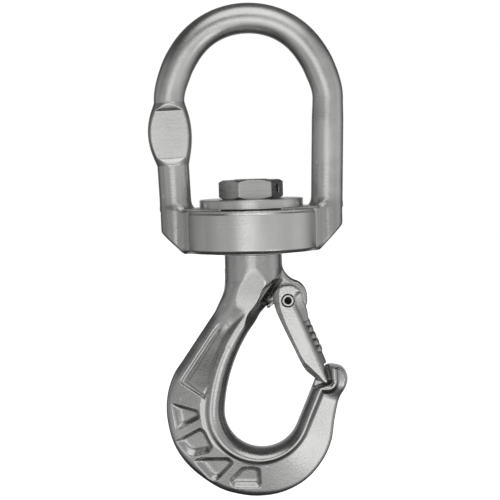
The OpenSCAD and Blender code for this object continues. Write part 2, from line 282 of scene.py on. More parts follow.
def join_body(piece, body, slot, *nodes):
    """Puts a finished piece on its body in place of the CAD nodes it stands for."""
    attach(piece, body)
    if nodes:
        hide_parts(*nodes)


# ---------------------------------------------------------------- materials


class Nodes:
    """Short ways to add nodes to one material."""

    def __init__(self, name):
        self.material = bpy.data.materials.new(name)
        self.material.use_nodes = True
        self.tree = self.material.node_tree
        self.shader = self.tree.nodes["Principled BSDF"]
        self.coords = self.add("ShaderNodeTexCoord").outputs["Object"]

    def add(self, kind, **settings):
        node = self.tree.nodes.new(kind)
        for key, value in settings.items():
            setattr(node, key, value)
        return node

    def link(self, source, socket):
        if isinstance(source, (int, float, tuple)):
            socket.default_value = source
        else:
            self.tree.links.new(source, socket)

    def noise(self, scale, detail=2.0, stretch=None):
        vector = self.coords
        if stretch:
            mapping = self.add("ShaderNodeMapping")
            mapping.inputs["Scale"].default_value = stretch
            self.link(vector, mapping.inputs["Vector"])
            vector = mapping.outputs["Vector"]
        node = self.add("ShaderNodeTexNoise")
        node.inputs["Scale"].default_value = scale
        node.inputs["Detail"].default_value = detail
        self.link(vector, node.inputs["Vector"])
        return node.outputs[0]

    def beyond(self, point, direction):
        """Distance past a point along a direction, both in the shared frame."""
        away = self.add("ShaderNodeVectorMath", operation="SUBTRACT")
        self.link(self.coords, away.inputs[0])
        away.inputs[1].default_value = point
        dot = self.add("ShaderNodeVectorMath", operation="DOT_PRODUCT")
        self.link(away.outputs["Vector"], dot.inputs[0])
        dot.inputs[1].default_value = direction
        return dot.outputs["Value"]

    def math(self, operation, a, b, clamp=False):
        node = self.add("ShaderNodeMath", operation=operation, use_clamp=clamp)
        self.link(a, node.inputs[0])
        self.link(b, node.inputs[1])
        return node.outputs[0]

    def spread(self, value, low, high, start=0.3, end=0.7):
        """Maps start..end of a value to low..high."""
        node = self.add("ShaderNodeMapRange", interpolation_type="SMOOTHSTEP")
        self.link(value, node.inputs["Value"])
        for key, number in (("From Min", start), ("From Max", end), ("To Min", low), ("To Max", high)):
            node.inputs[key].default_value = number
        return node.outputs["Result"]

    def mix(self, factor, a, b):
        """Colour a where the factor is 0 and b where it is 1; either may be a plain colour."""
        node = self.add("ShaderNodeMix", data_type="RGBA")
        self.link(factor, node.inputs[0])
        for color, socket in ((a, node.inputs[6]), (b, node.inputs[7])):
            self.link((*color, 1) if isinstance(color, tuple) else color, socket)
        return node.outputs[2]

    def bump(self, height, distance, strength=1.0, normal=None):
        node = self.add("ShaderNodeBump")
        node.inputs["Distance"].default_value = distance
        node.inputs["Strength"].default_value = strength
        self.link(height, node.inputs["Height"])
        if normal is not None:
            self.link(normal, node.inputs["Normal"])
        return node.outputs["Normal"]

    def finish(self, color, rough, normal, metallic=1.0):
        self.link(color, self.shader.inputs["Base Color"])
        self.link(rough, self.shader.inputs["Roughness"])
        self.link(normal, self.shader.inputs["Normal"])
        self.shader.inputs["Metallic"].default_value = metallic
        return self.material


def shade(tone, factor):
    """A colour made darker or lighter, never past white."""
    return tuple(min(v * factor, 1) for v in tone)


def blasted_steel(name, tone, rough, grain=1.0, lines=0.0, housing=None, grip=None):
    """Forged stainless after blasting: fine grain, soft blotches, worn edges with painted highlight,
    faint polishing lines.

    housing is the (radius, top) of a turned part whose lugs get painted shade, and grip the
    (point, direction along it, direction out of it) of the finger grip that gets painted shade,
    both in metres in the shared frame.
    """
    n = Nodes(name)
    fine = n.noise(2600, 2)
    pits = n.noise(1100, 3)
    cloud = n.noise(70, 4)
    wide = n.noise(18, 2)
    # convex edges: the lighter colour is a painted highlight, the lower roughness real worn polish
    edge = n.spread(n.add("ShaderNodeNewGeometry").outputs["Pointiness"], 0, 1, 0.5, 0.56)
    color = n.mix(n.spread(cloud, 0.25, 0.8), shade(tone, 0.74), shade(tone, 1.12))
    color = n.mix(n.spread(pits, 0.0, 0.35, 0.42, 0.28), color, shade(tone, 0.6))
    color = n.mix(n.math("MULTIPLY", edge, 0.6), color, shade(tone, 1.3))
    cloudy = n.spread(cloud, rough - 0.05, rough + 0.06)
    roughness = n.math("ADD", cloudy, n.spread(fine, -0.05, 0.05))
    roughness = n.math("SUBTRACT", roughness, n.math("MULTIPLY", edge, 0.08))
    normal = n.bump(n.spread(wide, 0, 1), 0.00012, 0.6)
    normal = n.bump(pits, 0.00012 * grain, 0.7, normal)
    normal = n.bump(fine, 0.00006 * grain, 0.7, normal)
    if lines:
        normal = n.bump(n.noise(400, 3, (0.25, 0.25, 3.0)), 0.00005 * lines, 0.6, normal)
    if housing:
        radius, top = housing
        flat = n.add("ShaderNodeMapping")
        flat.inputs["Scale"].default_value = (1, 1, 0)
        n.link(n.coords, flat.inputs["Vector"])
        away = n.add("ShaderNodeVectorMath", operation="LENGTH")
        n.link(flat.outputs["Vector"], away.inputs[0])
        height = n.add("ShaderNodeSeparateXYZ")
        n.link(n.coords, height.inputs[0])
        low = n.spread(height.outputs["Z"], 1, 0, top, top + 0.008)
        near = n.spread(away.outputs["Value"], 1, 0, radius, radius + 0.0003)
        turned = n.math("MULTIPLY", near, low)
        lugs = n.math("SUBTRACT", low, turned, True)
        blotch = n.math("MULTIPLY", n.math("SUBTRACT", n.noise(620, 3), 0.5), lugs)
        # painted shade: the lugs beside the turned housing are darkened
        color = n.mix(lugs, color, shade(tone, 0.68))
        color = n.mix(turned, color, tone)
        normal = n.bump(blotch, 0.00012, 0.8, normal)
        rings = n.math("SUBTRACT", n.noise(5200, 2, (0.004, 0.004, 1.0)), 0.5)
        normal = n.bump(n.math("MULTIPLY", rings, turned), 0.00004, 0.7, normal)
    if grip:
        start, along, out = grip
        grip_shade = n.math("MULTIPLY", n.spread(n.beyond(start, out), 0, 1, -0.0034, -0.0016),
                      n.spread(n.beyond(start, along), 0, 1, -0.014, -0.004))
        # painted shade: the finger grip's outer side is darkened; the added roughness is real
        color = n.mix(grip_shade, color, shade(tone, 0.45))
        roughness = n.math("ADD", roughness, n.math("MULTIPLY", grip_shade, 0.12))
    return n.finish(color, roughness, normal)


def turned_steel(name, tone, rough, pitch=5200.0, depth=1.0):
    """Lathe-turned stainless: fine rings across Z, light stains and small marks."""
    n = Nodes(name)
    rings = n.noise(pitch, 2, (0.004, 0.004, 1.0))
    bands = n.noise(900, 2, (0.01, 0.01, 1.0))
    fine = n.noise(2400, 2)
    cloud = n.noise(55, 4)
    color = n.mix(n.spread(cloud, 0.2, 0.9), shade(tone, 0.82), shade(tone, 1.1))
    color = n.mix(n.spread(rings, 0.0, 0.22), color, shade(tone, 0.66))
    banded = n.spread(bands, rough - 0.05, rough + 0.05)
    roughness = n.math("ADD", banded, n.spread(fine, -0.04, 0.04))
    normal = n.bump(rings, 0.00003 * depth, 0.7)
    normal = n.bump(bands, 0.00003 * depth, 0.5, normal)
    normal = n.bump(fine, 0.00003, 0.5, normal)
    return n.finish(color, roughness, normal)


def smooth_metal(name, tone, rough):
    """Drawn, ground or pressed metal with faint smears and scratches."""
    n = Nodes(name)
    cloud = n.noise(140, 4)
    fine = n.noise(3000, 2)
    scratch = n.noise(900, 2, (1.0, 0.08, 1.0))
    color = n.mix(n.spread(cloud, 0, 1), shade(tone, 0.85), tone)
    smeared = n.spread(cloud, rough - 0.04, rough + 0.05)
    roughness = n.math("ADD", smeared, n.spread(scratch, -0.03, 0.05))
    normal = n.bump(scratch, 0.00002, 0.6)
    normal = n.bump(fine, 0.00002, 0.5, normal)
    return n.finish(color, roughness, normal)


def rubber(name):
    """Matt black rubber with a fine grain and dusty patches."""
    n = Nodes(name)
    cloud = n.noise(260, 4)
    fine = n.noise(2600, 3)
    color = n.mix(n.spread(cloud, 0, 1), (0.012, 0.012, 0.012), (0.035, 0.034, 0.033))
    normal = n.bump(fine, 0.00005, 0.8)
    return n.finish(color, n.spread(cloud, 0.55, 0.75), normal, 0.0)


# the turned housing's radius and top; the lugs beside it get painted shade
TURNED_HOUSING = (0.0286, float(place([0, 0, 10])[2]))
# where the latch's finger grip gets painted shade: a point, the direction along, the direction out
FINGER_GRIP = (tuple(float(v) for v in place([22.4, 0, -37.6])), (0.38, 0, -0.925), (0.925, 0, 0.38))
MATERIALS = {
    "forged_bow": blasted_steel("forged_bow", (0.60, 0.60, 0.59), 0.33, 0.22, 1.0, TURNED_HOUSING),
    "forged_hook": blasted_steel("forged_hook", (0.49, 0.49, 0.485), 0.26, 0.7),
    "cast_latch": blasted_steel("cast_latch", (0.63, 0.63, 0.62), 0.29, 1.2, grip=FINGER_GRIP),
    "turned_steel": turned_steel("turned_steel", (0.58, 0.58, 0.57), 0.27),
    "pin_steel": smooth_metal("pin_steel", (0.55, 0.55, 0.55), 0.25),
    "spring_wire": smooth_metal("spring_wire", (0.62, 0.62, 0.61), 0.22),
    "race_steel": turned_steel("race_steel", (0.62, 0.62, 0.63), 0.2, 7000.0, 0.6),
    "ball_steel": smooth_metal("ball_steel", (0.75, 0.75, 0.77), 0.08),
    "cage_brass": smooth_metal("cage_brass", (0.72, 0.52, 0.22), 0.3),
    "bush_bronze": turned_steel("bush_bronze", (0.6, 0.38, 0.2), 0.32),
    "seal_rubber": rubber("seal_rubber"),
    # near-black painted shade for the inside of the pin's blind holes
    "pin_bore_shade": smooth_metal("pin_bore_shade", (0.05, 0.05, 0.05), 0.6),
    "dark_pin": smooth_metal("dark_pin", (0.09, 0.09, 0.09), 0.4),
}
for part in frame["record"]["subparts"]:
    node = frame["nodes"][part["node"]]
    node.data.materials.clear()
    node.data.materials.append(MATERIALS[part["material_slot"]])
frame["nodes"]["nut_lock_pin"].data.materials[0] = MATERIALS["dark_pin"]

# ---------------------------------------------------------------- hook

BOWL, BOWL_R = np.array([2.2, -75.8]), 15.95
BACK_R, BACK_START, BACK_END, THROAT_START = 70.0, 175.0, 144.0, -23.4
NECK_R = 12.25
OUTER_EDGE = [
    (-12.25, -14), (-12.2, -20), (-12.8, -25.5), (-15.2, -31.2), (-20, -38), (-30.2, -52.6),
    (-35.2, -60), (-38.1, -69), (-38.3, -79), (-35.4, -90.3), (-28.8, -99.9),
    (-18.1, -108.2), (-9, -111.6), (0.5, -112.7), (10.5, -111.1), (20.1, -106.1),
    (27.1, -98.5), (31.3, -90), (33, -80.4), (35.1, -71.8), (38.2, -66.4),
    (38.9, -62.4), (37.2, -58.6), (33.6, -57.2), (30.2, -57)]
LUG_EDGE = [
    (12.2, -9.2), (12.4, -14.5), (13.4, -17), (15.2, -19.2), (17.2, -20.5), (19, -21.2),
    (20.8, -22.7), (22.2, -25), (22.7, -28), (22.5, -31), (21.2, -33.8)]
# each pocket: corners of its rim, clockwise, and the width of the wall after each corner
POCKETS = [
    ([(-36.6, -71.0), (-24.6, -74.4), (-23.9, -77.9), (-34.6, -83.4)], (1.5, 1.4, 1.5, 3.6)),
    ([(-35.4, -87.8), (-24.2, -81.7), (-22.4, -82.6), (-18.8, -90.4), (-20.2, -93.2), (-29.6, -95.0)],
     (1.5, 1.5, 1.5, 1.8, 3.4, 3.4)),
    ([(-27.8, -96.2), (-25, -94.9), (-12.4, -94.8), (-10.2, -97.6), (-17.6, -105.4), (-21.0, -105.4)],
     (1.6, 1.5, 1.5, 1.6, 2.4, 3.6)),
    ([(-7.2, -99.1), (-0.8, -99.1), (1.0, -100.0), (1.3, -108.9), (-11.6, -108.6), (-12.9, -105.2)],
     (1.4, 1.6, 1.9, 3.3, 2.4, 1.7))]
POCKET_DEEP = 2.5
# the plain panel: the outline of its groove, and of the plate inside it
PANEL = [(-13.6, -35.1), (-32.3, -62.2), (-32.2, -63.4), (-22.2, -69.9), (-16, -60), (-8, -42)]
PLATE = [(-12.6, -38), (-29.1, -62.4), (-21.4, -68.4), (-15, -60), (-7, -42)]
THROAT_RUN, BACK_RUN = 20.6, 19.5  # straight ends of the inside edge
BEAD_HALF = 9.5
FLANK_HALF, FLANK_SLOPE, FLANK_NORM = 2.5, 2.2, 2.42  # the slanted sides of the inside edge
FLANK_CUT = 2.0  # how much further the flank goes back below the neck
WEB_HALF, WEB_SLOPE, WEB_RUN = 3.9, 0.29, 14.5  # half thickness at the rim, and how it grows
NOSE_HALF, NOSE_DROP, TIP_STEP = 7.5, 0.5, 0.5
FIN_HALF = 2.5  # half the thickness of the latch lug and of the tip's fin
HEAD_ROOM, TOE_ROOM = 7.3, 38.5  # radii of the room for the latch, about its pin
JOURNAL_R, THREAD_R, THREAD_DEEP, THREAD_PITCH = 10.0, 8.0, 0.28, 2.0
NUT_TURN = -22  # direction of the cross hole about the swivel axis, degrees
CROSS_HOLE_R, LUG_HOLE_R = 2.05, 2.52
FACET_TOP, FACET_TAPER, FACET_HALF = 12.2, 0.2, 9.3  # the flat forged facet on the neck
DIAGONAL = 0.7071


def direction(degrees):
    """A unit step in the XZ plane."""
    return np.array([math.cos(math.radians(degrees)), math.sin(math.radians(degrees))])


def inside_edge():
    """The hook's inner edge, from the tip's fin round the bowl to the neck."""
    throat = BOWL + BOWL_R * direction(THROAT_START)
    centre = BOWL - (BACK_R - BOWL_R) * direction(BACK_START)
    back = centre + BACK_R * direction(BACK_END)
    return np.vstack([
        throat + THROAT_RUN * direction(THROAT_START + 90),
        arc(BOWL, BOWL_R, THROAT_START, BACK_START - 360, 40),
        arc(centre, BACK_R, BACK_START, BACK_END, 20)[1:],
        back + BACK_RUN * direction(BACK_END - 90),
        (NECK_R, -20), (NECK_R, 0)])


def sunk_face(x, z):
    """How deep the web's face is sunk by the pockets and the plain panel."""
    frame_in = 1 - ramp(shape_distance(x, z, np.array(PANEL, float)), -1.1, 0.1)
    plate_off = ramp(shape_distance(x, z, np.array(PLATE, float)), -0.3, 0.9)
    sunk = (0.5 + 0.9 * plate_off) * frame_in * ramp(-z, 36, 44)
    for rim, walls in POCKETS:
        deep = np.full(x.shape, 1.0)
        for (x0, z0), (x1, z1), wall in zip(rim, rim[1:] + rim[:1], walls):
            length = math.hypot(x1 - x0, z1 - z0)
            inward = ((z1 - z0) * (x - x0) - (x1 - x0) * (z - z0)) / length
            deep = smooth_min(deep, inward / wall, 0.7)
        sunk = np.maximum(sunk, POCKET_DEEP * ramp(deep, -0.05, 0.95))
    return sunk


def hook_maps():
    """Distances to the hook's outlines, and the depth of what is sunk in its web."""
    low, high = (-46, -120), (48, -5)
    outer = np.vstack([spline(OUTER_EDGE, 8), [(28, -40), (45, -30), (45, 5), (-12.25, 5)]])
    void = np.vstack([inside_edge(), [(60, 0), (60, -50), (29.6, -54), (30, -63.5)]])
    lug = np.vstack([spline(LUG_EDGE, 6), [
        (17.5, -34.6), (13, -34.2), (9.6, -31), (5.2, -30.7), (0, -36), (0, -9.2)]])
    fin = np.vstack([inside_edge()[:1], [
        (26.6, -63), (29.8, -57.4), (34, -60), (34, -72), (24, -74)]])
    return {
        "outer": Map(lambda x, z: shape_distance(x, z, outer), low, high),
        "inner": Map(lambda x, z: shape_distance(x, z, void), low, high),
        "lug": Map(lambda x, z: shape_distance(x, z, lug), low, high),
        "fin": Map(lambda x, z: shape_distance(x, z, fin), low, high),
        "sunk": Map(sunk_face, low, high, 0.2),
    }


def beside(u, side, crest, half_in, half_out, high):
    """Distance to the rounded section of the inside edge, which is thickest at u = crest."""
    half = np.where(u < crest, half_in, half_out)
    a, b = (u - crest) / half, side / high
    q = np.sqrt(a * a + b * b + 1e-9)
    return (q - 1) * q / np.sqrt((a / half) ** 2 + (b / high) ** 2 + 1e-9)


def flank(side, inner):
    """The slanted plane that the inside edge is cut to on each side."""
    return (side - FLANK_HALF - FLANK_SLOPE * inner) / FLANK_NORM


def hook_field():
    maps = hook_maps()
    washer_bottom = node_box("cover_washer")[0][2]
    stud_top = node_box("hook")[1][2]
    shoulder = node_box("lower_seal")[0][2]

    def field(x, y, z):
        outer, inner = maps["outer"](x, z), maps["inner"](x, z)
        depth = np.maximum(-outer, 0)
        side = np.abs(y)
        radial = np.sqrt(x * x + y * y)
        # thick bead along the inside edge, narrower towards the tip
        tipward = np.clip(x, -20, 22)
        crest = 4.7 - 0.065 * tipward
        bead = beside(inner, side, crest, crest, 2.9 - 0.02 * tipward, BEAD_HALF)
        cut_in = inner - FLANK_CUT * ramp(-z, 17, 24) * (1 - ramp(-z, 30, 54))
        bead = smooth_max(bead, flank(side, cut_in) - 3 * ramp(-z, 33, 48), 0.5)
        # web that thins towards the outer edge, with the nose and the tip's step on it
        nose = ramp(z + 0.25 * (x - 33), -73.4, -64.0) * ramp(x, 20, 25)
        face = WEB_HALF + WEB_SLOPE * np.minimum(depth, WEB_RUN) - maps["sunk"](x, z)
        face = face + nose * (NOSE_HALF - NOSE_DROP * (1 - ramp(depth, -1, 6.5)) - face)
        tip = ramp(z + 0.6 * (x - 38), -68, -63) * ramp(x, 29, 31)
        face = face - TIP_STEP * tip * (1 - ramp(depth, 1.1, 1.5))
        web = smooth_max(side - face, crest - 0.8 - inner, 1)
        body = smooth_min(bead, web, 0.8)
        rounding = 2.6 - 1.9 * np.maximum(tip, 0.6 * ramp(x, 0, 20))
        body = smooth_max(body, outer + 0.012 * side * side, rounding)
        body = np.maximum(body, z + 15)
        body = smooth_max(body, radial - NECK_R - 2.5 * np.maximum(-20 - z, 0), 0.4)
        # round neck that bends into the back, with a flat forged facet at front and back
        drop = np.maximum(-20 - z, 0)
        middle = x + 0.02 * drop ** 2 + 0.22 * drop
        neck = np.sqrt(middle ** 2 + y * y) - (NECK_R - 0.021 * drop ** 2)
        neck = smooth_max(neck, outer, 1)
        neck = smooth_max(neck, flank(side, cut_in + 3 * ramp(z, -17, -10)), 0.5)
        neck = np.maximum(neck, z - shoulder)
        body = smooth_min(body, neck, 0.3 + 2.6 * ramp(-z, 22, 32))
        facet = smooth_max(FACET_TOP + FACET_TAPER * (z + 16), FACET_HALF + 0 * x, 1.2)
        body = smooth_max(body, np.where(z > -48, side - facet, -9), 0.35)
        # room for the latch's head, cheeks and toe
        r = np.sqrt((x - LATCH[0]) ** 2 + (z - LATCH[2]) ** 2)
        beside_fin = side - FIN_HALF - 0.1
        body = smooth_max(body, -np.maximum(r - HEAD_ROOM, -beside_fin), 1.0)
        wall_x, wall_z = x - 31.3, z + 62.4
        wall = np.minimum(0.998 * wall_x + 0.064 * wall_z, 0.94 * wall_x + 0.34 * wall_z)
        lean = 0.12 * beside_fin
        room = np.maximum(r - TOE_ROOM - lean, wall + 0.35 - lean)
        body = smooth_max(body, -np.maximum(room, np.maximum(13 - x, -beside_fin)), 0.9)
        # thin lug and fin in the middle plane
        lug = smooth_max(maps["lug"](x, z), side - FIN_HALF, 2.2)
        body = smooth_min(body, lug, 0.6 + 1.2 * ramp(-z, 14, 20))
        fin = smooth_max(maps["fin"](x, z), side - FIN_HALF, 0.6)
        body = smooth_min(body, fin, 0.5)
        body = np.maximum(body, LUG_HOLE_R - r)
        # journal and threaded end above the shoulder
        winding = (z / THREAD_PITCH + np.arctan2(y, x) / (2 * math.pi)) % 1
        thread = THREAD_DEEP * np.abs(winding * 2 - 1) * ramp(z, 13.5, 14.5)
        stem = radial - np.where(z < washer_bottom, JOURNAL_R, THREAD_R - thread)
        stem = np.maximum(stem, z - stud_top)
        stem = np.maximum(stem, (radial + z - stud_top - 7.2) * DIAGONAL)
        stem = np.maximum(stem, shoulder - 2 - z)
        stem = np.maximum(stem, cross_hole(x, y, z))
        return np.minimum(body, stem)

    return field


def cross_hole(x, y, z):
    """The hole through nut and stem for the lock pin, as something to cut away."""
    low, high = node_box("nut_lock_pin")
    middle, turn = (low + high) / 2, math.radians(NUT_TURN)
    across = (x - middle[0]) * math.sin(turn) - (y - middle[1]) * math.cos(turn)
    return CROSS_HOLE_R - np.sqrt(across ** 2 + (z - middle[2]) ** 2)


def build_hook():
    low, high = node_box("hook")
    piece = add_skin("forged_hook", hook_field(), low, high, 0.42, MATERIALS["forged_hook"])
    join_body(piece, "hook", "forged_hook", "hook")


# ---------------------------------------------------------------- bow

ARCH_R, ARCH_Z, BAR_R, LEAN = 33.6, 56.9, 6.5, 2.0
WELD_AT, WELD_LONG, WELD_R, PAD_HALF, PAD_LONG = -13.2, 13.5, 9.3, 4.6, 9.9
WELD_SHIFT = 0.55  # how far the swelling stands outwards of the leg
HOUSING_R, HOUSING_H, HOUSING_BEVEL = 28.5, 17.9, 1.4
LUG_ROUND, LUG_AT, LUG_R = 1.6, 31.6, 6.3
SEAT_R, BORE_R, STEM_HOLE_R = 17.55, 11.52, 13.0
GROOVE_R, GROOVE_HALF, GROOVE_DEEP = 20.15, 1.17, 1.5


def bow_field():
    top = node_box("swivel_bow")[0][2] + HOUSING_H
    bottom = top - HOUSING_H
    seal_top = node_box("lower_seal")[1][2]
    seat_floor = node_box("bearing_lower_race")[0][2]
    c, s = math.cos(math.radians(LEAN)), math.sin(math.radians(LEAN))
    lugs = []
    for reach, corner_z, foot_x in ((-38.4, 1.5, -28.6), (38.3, 3.0, 27.6)):
        inset = math.copysign(LUG_ROUND, reach)
        foot_z = bottom + 0.4 + LUG_ROUND
        outline = np.array([
            (foot_x / 2, foot_z), (foot_x - 0.35 * inset, foot_z),
            (reach - inset, corner_z + 0.35 * LUG_ROUND), (reach - inset, 40), (foot_x / 2, 40)])
        lugs.append(Map(lambda x, z, o=outline: shape_distance(x, z, o) - LUG_ROUND,
                        (-46, -12), (46, 24)))

    def field(x, y, z):
        side = np.abs(y)
        radial = np.sqrt(x * x + y * y)
        # arch, tighter and a little thicker at its shoulders, and the legs below it
        dz = z - ARCH_Z
        rho = np.sqrt(x * x + dz * dz) + 1e-6
        rise = dz / rho
        shoulder = 0.95 * ramp(rise, -0.035, 0.36) * (1 - ramp(rise, 0.5, 1))
        arch = np.sqrt((rho - ARCH_R + shoulder) ** 2 + y * y) - BAR_R - 0.25 * shoulder
        sign = np.where(x < 0, -1.0, 1.0)
        across = sign * (x * c - dz * s * sign) - ARCH_R
        along = dz * c + x * s * sign
        thick = BAR_R + 0.22 * ramp(-along, 0, 10)
        bar = np.sqrt(across ** 2 + y * y) - thick
        # the closed joint on the left leg: a swelling pressed flat at front and back
        t = (along - WELD_AT) / WELD_LONG
        hump = np.clip(1 - t * t, 0, 1)
        swell = thick + (WELD_R - thick) * hump ** 1.15
        weld = np.sqrt((across - WELD_SHIFT * hump) ** 2 + y * y) - swell
        beyond = np.abs(along - WELD_AT) - PAD_LONG
        flat = 0.8 * (side - PAD_HALF - 2.4 * np.sqrt(1 - (1 - np.clip(beyond / 6, 0.01, 1)) ** 2))
        weld = smooth_max(weld, flat, 0.25)
        bar = np.where((sign < 0) & (np.abs(t) < 1.4), weld, bar)
        loop = np.where(along > 0, arch, bar)
        cut = np.where(x < 0, lugs[0](x, z), lugs[1](x, z))
        loop = smooth_max(loop, np.where(z > top, -9, np.maximum(cut, bottom + 0.4 - z)), 1.0)
        # turned housing
        wall = radial - HOUSING_R
        ends = np.abs(z - (top + bottom) / 2) - HOUSING_H / 2
        housing = smooth_max(np.maximum(wall, ends), (wall + ends + HOUSING_BEVEL) * DIAGONAL, 0.25)
        # lugs that carry the legs
        past = np.abs(x) - LUG_AT
        plan = np.sqrt(np.maximum(past, 0) ** 2 + y * y) - LUG_R - 0.7 * np.maximum(-past, 0)
        lug = smooth_max(smooth_max(cut, z - top - 1, 1), plan * 0.85, 2.0)
        forged = smooth_min(loop, lug, 2.4)
        body = smooth_min(forged, housing, 0.5)
        # fillets where the legs stand on the housing's top
        foot = np.maximum(radial - HOUSING_R + 0.5, z - top)
        body = np.minimum(body, smooth_min(loop, foot, 5.0) + np.where(z > top - 1, 0, 9))
        # bearing seat, bore and seal groove
        seat = np.maximum(radial - SEAT_R, seat_floor - z)
        groove = np.maximum(np.abs(radial - GROOVE_R) - GROOVE_HALF, top - GROOVE_DEEP - z)
        hollow = np.minimum(np.minimum(seat, radial - BORE_R), groove)
        hollow = np.minimum(hollow, np.maximum(radial - STEM_HOLE_R, z - seal_top - 0.1))
        hollow = np.maximum(hollow, z - top - 3)
        return np.maximum(body, -hollow)

    return field


def build_bow():
    low, high = node_box("swivel_bow")
    piece = add_skin("forged_bow", bow_field(), low, high, 0.46, MATERIALS["forged_bow"])
    join_body(piece, "bow", "forged_bow", "swivel_bow")


# ---------------------------------------------------------------- latch

HEAD_R, CHEEK_IN, CHEEK_OUT, WEB_T = 6.6, 6.2, 8.5, 2.3
CHEEK_EDGE = [
    (20.9, -29.3), (22, -31.5), (22.6, -34), (23, -37.6), (30.1, -56.1), (30.9, -59.5), (30.9, -62.6),
    (29.9, -64.3), (27.7, -64.0), (25.0, -62.4), (21.4, -59.4), (19.9, -57), (18.4, -54),
    (16.4, -49.5), (13.5, -43.4), (9.5, -34.4), (7.9, -29.4)]
STRIP_EDGE = [
    (11.6, -21.5), (10.8, -25.5), (10.7, -29), (11.2, -32.5), (13.2, -38.5), (16.4, -46), (19.2, -52.2),
    (21.0, -55.4), (23.8, -58.2), (26.8, -61.2), (29.9, -65)]
GRIPS, GRIP_FIRST, GRIP_PITCH, GRIP_R, GRIP_HALF = 5, 1.2, 3.05, 1.45, 7.2
PIN_HOLE_R = 2.85


def latch_field():
    head = arc(LATCH[[0, 2]], HEAD_R, 0, 200, 30)
    cheek = np.vstack([head, CHEEK_EDGE[::-1]])
    strip = np.vstack([STRIP_EDGE, [(0, -70), (0, -20)]])
    low, high = (4, -68), (36, -18)
    cheek_map = Map(lambda x, z: shape_distance(x, z, cheek), low, high, 0.2)
    strip_map = Map(lambda x, z: shape_distance(x, z, strip), low, high, 0.2)
    start, end = np.array([22.4, -37.6]), np.array([30.0, -56.1])
    along = (end - start) / np.linalg.norm(end - start)
    out = np.array([-along[1], along[0]])
    length = np.linalg.norm(end - start)

    def field(x, y, z):
        side = np.abs(y)
        edge = cheek_map(x, z)
        s = (x - start[0]) * along[0] + (z - start[1]) * along[1]
        d = (x - start[0]) * out[0] + (z - start[1]) * out[1]
        # outside shape, rounded towards the grip side
        drop = smooth_max(1.3 * (d + 3.0), 0 * d, 1.0) * ramp(s, -14, -7)
        drop = np.where(s < 0, smooth_min(drop, 1.6, 0.6), drop)
        body = smooth_max(edge, side - CHEEK_OUT + drop, 0.9)
        strip_drop = 0.85 * np.maximum(-strip_map(x, z), 0)
        body = smooth_max(body, side - (CHEEK_OUT - strip_drop), 0.15)
        # open inside, closed by a web along the grip
        web = np.maximum(d - 0.6, np.maximum(-WEB_T - d, np.maximum(-s, s - length)))
        hollow = np.maximum(side - CHEEK_IN, -smooth_max(web, side - 9, 0.2))
        body = smooth_max(body, -hollow, 0.4)
        for k in range(GRIPS):
            lump = np.sqrt((s - GRIP_FIRST - GRIP_PITCH * k) ** 2 + (d + 0.6) ** 2) - GRIP_R
            body = smooth_min(body, smooth_max(lump, side - GRIP_HALF, 1.4), 0.3)
        r = np.sqrt((x - LATCH[0]) ** 2 + (z - LATCH[2]) ** 2)
        return smooth_max(body, PIN_HOLE_R - r, 0.25)

    return field


def build_latch():
    low, high = node_box("latch")
    piece = add_skin("cast_latch", latch_field(), low, high, 0.26, MATERIALS["cast_latch"])
    join_body(piece, "latch", "cast_latch", "latch")


# ---------------------------------------------------------------- small parts


def lathe(name, profile, material, segments, fillet):
    """Turns a closed (radius, z) outline about Z, with its corners rounded."""
    ring, normals = rounded(profile, fillet)
    a = np.linspace(0, 2 * math.pi, segments, endpoint=False)
    cos, sin = np.cos(a)[:, None], np.sin(a)[:, None]
    flat = np.zeros_like(a)[:, None]
    points, around = (np.stack([v[:, 0] * cos, v[:, 0] * sin, v[:, 1] + flat], 2).reshape(-1, 3)
                      for v in (ring, normals))
    n = len(ring)
    faces = []
    for i in range(segments):
        j = (i + 1) % segments
        faces += [(i * n + k, j * n + k, j * n + (k + 1) % n, i * n + (k + 1) % n) for k in range(n)]
    return add_mesh(name, points, faces, around, material)


def rounded(profile, fillet):
    """Rounds a counter-clockwise outline's corners: points and outward normals."""
    steps = 3
    p = np.array(profile, float)
    points, normals = [], []
    for i in range(len(p)):
        a, b, c = p[i - 1], p[i], p[(i + 1) % len(p)]
        u, v = (b - a) / np.linalg.norm(b - a), (c - b) / np.linalg.norm(c - b)
        n0, n1 = np.array([u[1], -u[0]]), np.array([v[1], -v[0]])
        turn = math.acos(float(np.clip(u @ v, -1, 1)))
        if turn < 0.02:
            continue
        room = 0.4 * min(np.linalg.norm(b - a), np.linalg.norm(c - b))
        cut = min(fillet * math.tan(turn / 2), room)
        radius = cut / math.tan(turn / 2)
        hand = 1 if u[0] * v[1] - u[1] * v[0] > 0 else -1
        centre = b - u * cut - hand * n0 * radius
        for k in range(steps + 1):
            t = k / steps
            n = n0 * (1 - t) + n1 * t
            n /= np.linalg.norm(n)
            points.append(centre + hand * n * radius)
            normals.append(n)
    return np.array(points), np.array(normals)


def build_washer():
    low, high = node_box("cover_washer")
    inner, outer = THREAD_R + 0.2, high[0]
    profile = [(inner, low[2]), (outer, low[2]), (outer, high[2]), (inner, high[2])]
    piece = lathe("turned_washer", profile, MATERIALS["turned_steel"], 180, 0.45)
    join_body(piece, "hook", "turned_steel", "cover_washer")


